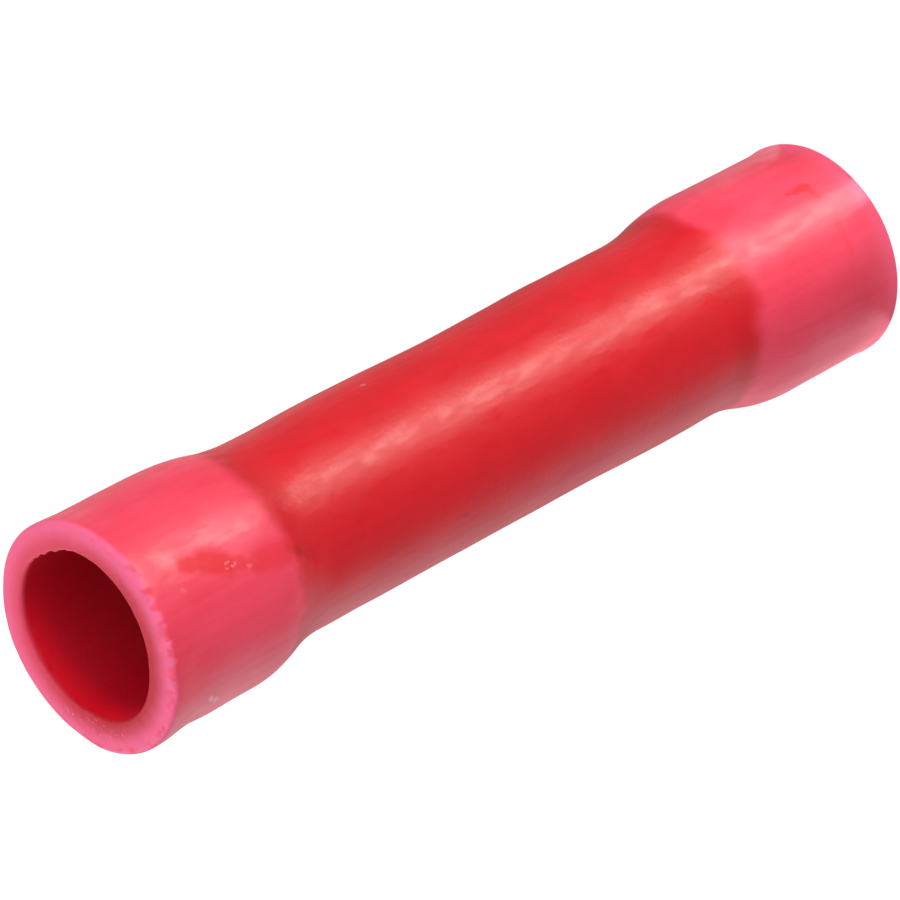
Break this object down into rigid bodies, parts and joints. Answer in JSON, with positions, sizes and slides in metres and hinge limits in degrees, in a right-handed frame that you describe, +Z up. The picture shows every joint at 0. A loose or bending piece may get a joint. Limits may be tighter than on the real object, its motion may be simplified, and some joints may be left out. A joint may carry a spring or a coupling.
{
  "type": "insulated butt splice connector",
  "caption": "Insulated butt splice: a translucent red vinyl sleeve, belled at both ends, over a tinned copper barrel with a middle stop, for crimping two wires end to end.",
  "frame": {"origin": "centre of the lower cut end, on the floor it stands on", "axes": "+Z up along the connector's axis, from the lower cut end to the upper one; X and Y lie across it and are alike"},
  "size_m": [0.0056, 0.0056, 0.025],
  "materials": {
    "red_vinyl": "satin, slightly translucent: pink over the hollow bells, deeper red over the metal barrel",
    "tinned_copper": "satin tin plating on copper"
  },
  "bodies": {
    "root": {"insulation_sleeve": "red_vinyl", "barrel": "tinned_copper"}
  },
  "joints": []
}
